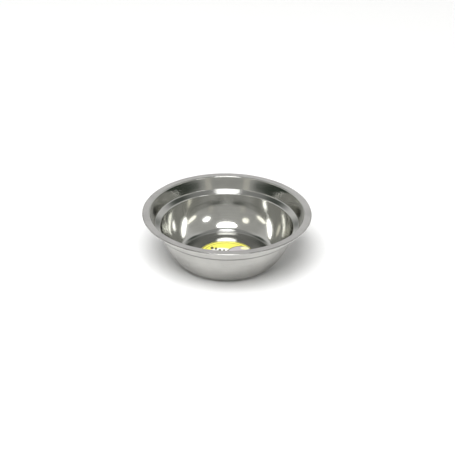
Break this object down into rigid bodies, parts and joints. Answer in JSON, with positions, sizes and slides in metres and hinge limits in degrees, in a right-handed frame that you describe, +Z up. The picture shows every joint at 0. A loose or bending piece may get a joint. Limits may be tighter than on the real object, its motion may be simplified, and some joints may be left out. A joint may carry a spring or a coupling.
{
  "type": "shaving bowl",
  "caption": "Round shaving bowl of pressed steel with a wide flat rim, a ledge below it, a deep rounded well and a round paper label stuck to its floor.",
  "frame": {"origin": "on the bowl's axis, on the flat underside that it stands on", "axes": "+Z up along the bowl's axis, from the foot to the rim; the bowl is round about it"},
  "size_m": [0.13, 0.13, 0.04],
  "materials": {
    "polished_steel": "mirror polished inside, softer satin polish on the rim and outside",
    "label_paper": "glossy printed paper, yellow with a dark edge"
  },
  "bodies": {
    "root": {"bowl_shell": "polished_steel", "floor_label": "label_paper"}
  },
  "joints": []
}
